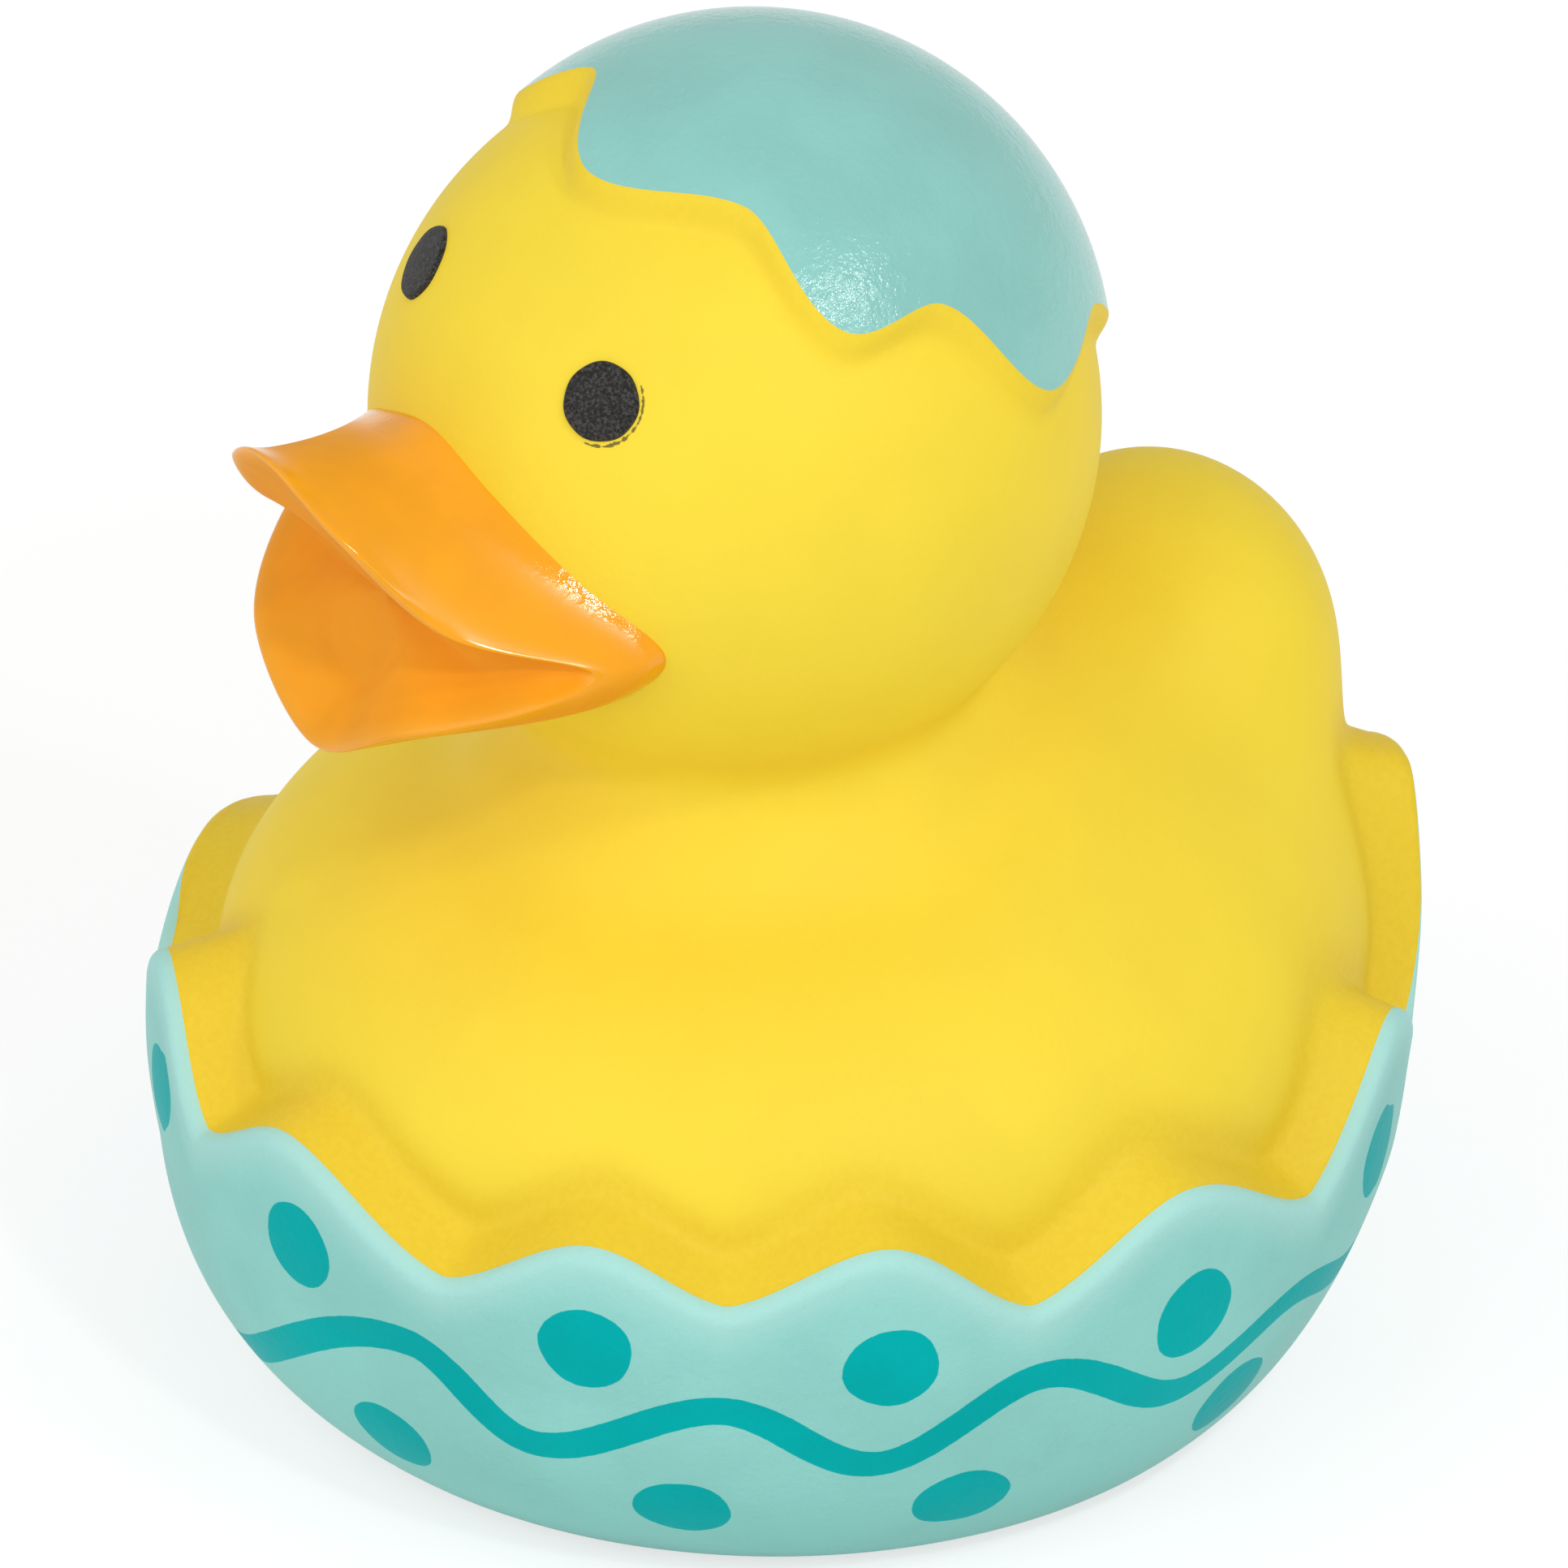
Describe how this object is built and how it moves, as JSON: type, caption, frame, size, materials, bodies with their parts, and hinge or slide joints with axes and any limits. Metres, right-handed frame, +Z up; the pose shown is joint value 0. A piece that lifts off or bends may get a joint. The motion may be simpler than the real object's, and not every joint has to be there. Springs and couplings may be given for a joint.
{
  "type": "rubber duck",
  "caption": "Hollow soft-vinyl bath duck that hatches from a cracked egg shell, with an egg-shell cap, an open bill and a raised tail.",
  "frame": {"origin": "centre of the flat base, which stands on Z = 0", "axes": "+Z up along the egg's axis to the top of the head, the duck looks towards -Y, and its left side is +X"},
  "size_m": [0.0654, 0.0658, 0.0753],
  "materials": {
    "vinyl": "soft satin vinyl, yellow right through; the shell and cap are painted mint with teal dots and one teal wave, the bill is glossy orange paint, the eyes are black",
    "shell_paint": "satin mint paint on the egg shell and the cap",
    "bill_paint": "glossy orange paint on the bill",
    "eye_paint": "rough black paint on the eyes"
  },
  "bodies": {
    "root": {"duck": "vinyl"}
  },
  "joints": []
}
